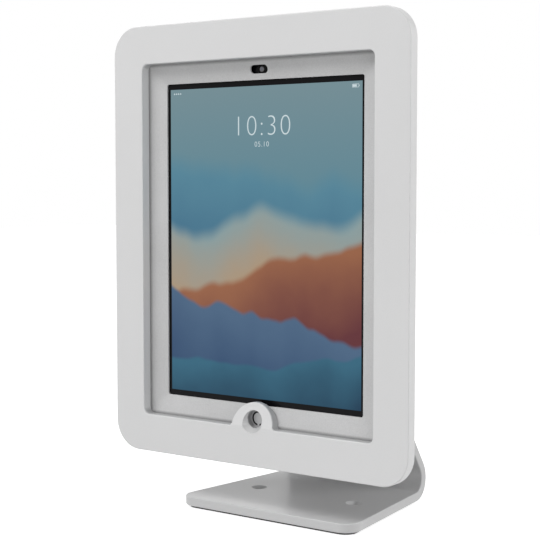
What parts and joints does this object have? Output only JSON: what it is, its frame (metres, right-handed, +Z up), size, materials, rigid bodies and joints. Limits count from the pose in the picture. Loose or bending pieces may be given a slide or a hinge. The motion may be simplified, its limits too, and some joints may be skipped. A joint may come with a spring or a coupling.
{
  "type": "tablet security kiosk stand",
  "caption": "Tablet in a lockable flat metal enclosure on a bent steel desk stand, with a tilting and turning head, a hinged front frame and a cam lock",
  "frame": {"origin": "centre of the bounding box's base, on the table under the stand's rubber pad", "axes": "+Z up; -Y is the way the screen faces; +X is to the right of someone who looks at the screen"},
  "size_m": [0.226, 0.1254, 0.316],
  "materials": {
    "stand_paint": "satin light silver powder coat",
    "pad_rubber": "matt",
    "grommet_rubber": "matt",
    "bracket_paint": "satin light silver powder coat",
    "zinc_screw": "zinc plated",
    "black_steel": "black oxide",
    "spring_steel": "bright",
    "glide_plastic": "smooth",
    "turned_steel": "turned",
    "disc_aluminium": "satin anodised",
    "housing_aluminium": "satin light silver powder coat",
    "tray_plastic": "fine moulded grain",
    "foam": "soft foam",
    "bumper_rubber": "matt",
    "tablet_aluminium": "bead blasted",
    "tablet_glass": "clear over a black border",
    "display": "lit picture",
    "camera_lens": "black lens",
    "battery_film": "black film",
    "circuit_board": "solder mask",
    "frame_aluminium": "satin light silver powder coat",
    "mask_aluminium": "fine grained light silver",
    "lock_chrome": "polished",
    "plug_steel": "turned"
  },
  "bodies": {
    "stand": {"stand_plate": "stand_paint", "base_pad": "pad_rubber", "cable_grommet": "grommet_rubber", "arm_bracket": "bracket_paint", "bracket_screws": "zinc_screw", "tilt_bolt": "black_steel", "tilt_nut": "zinc_screw", "tilt_spring_washers": "spring_steel", "tilt_friction_washers": "glide_plastic"},
    "tilt_head": {"head_plate": "bracket_paint", "tilt_bushing": "spring_steel", "pivot_sleeve": "turned_steel", "pivot_nut": "turned_steel", "friction_ring": "glide_plastic", "glide_ring": "glide_plastic", "stop_pin": "turned_steel"},
    "enclosure": {"swivel_disc": "disc_aluminium", "disc_screws": "zinc_screw", "rear_housing": "housing_aluminium", "cover_hinge_pins": "turned_steel", "keeper_plate": "spring_steel", "keeper_screws": "zinc_screw", "tablet_tray": "tray_plastic", "tray_screws": "zinc_screw", "back_pads": "foam", "cover_bumpers": "bumper_rubber", "tablet_shell": "tablet_aluminium", "tablet_glass": "tablet_glass", "display_panel": "display", "tablet_camera": "camera_lens", "tablet_battery": "battery_film", "tablet_board": "circuit_board"},
    "front_cover": {"front_frame": "frame_aluminium", "inner_mask": "mask_aluminium", "mask_screws": "zinc_screw", "lock_sleeve": "lock_chrome", "lock_nut": "turned_steel"},
    "lock_plug": {"lock_plug": "plug_steel", "lock_cam": "spring_steel", "cam_screw": "zinc_screw"}
  },
  "joints": [
    {"name": "head_tilt", "type": "hinge", "parent": "stand", "child": "tilt_head", "pos_m": [0, -0.02271, 0.1504], "axis": [-1, 0, 0], "range_deg": [0, 45]},
    {"name": "enclosure_swivel", "type": "hinge", "parent": "tilt_head", "child": "enclosure", "pos_m": [0, -0.03471, 0.1764], "axis": [0, 1, 0], "range_deg": [-90, 90]},
    {"name": "cover_hinge", "type": "hinge", "parent": "enclosure", "child": "front_cover", "pos_m": [0, -0.05121, 0.3074], "axis": [-1, 0, 0], "range_deg": [0, 90]},
    {"name": "lock_turn", "type": "hinge", "parent": "front_cover", "child": "lock_plug", "pos_m": [0, -0.05871, 0.0664], "axis": [0, 1, 0], "range_deg": [0, 90]}
  ]
}
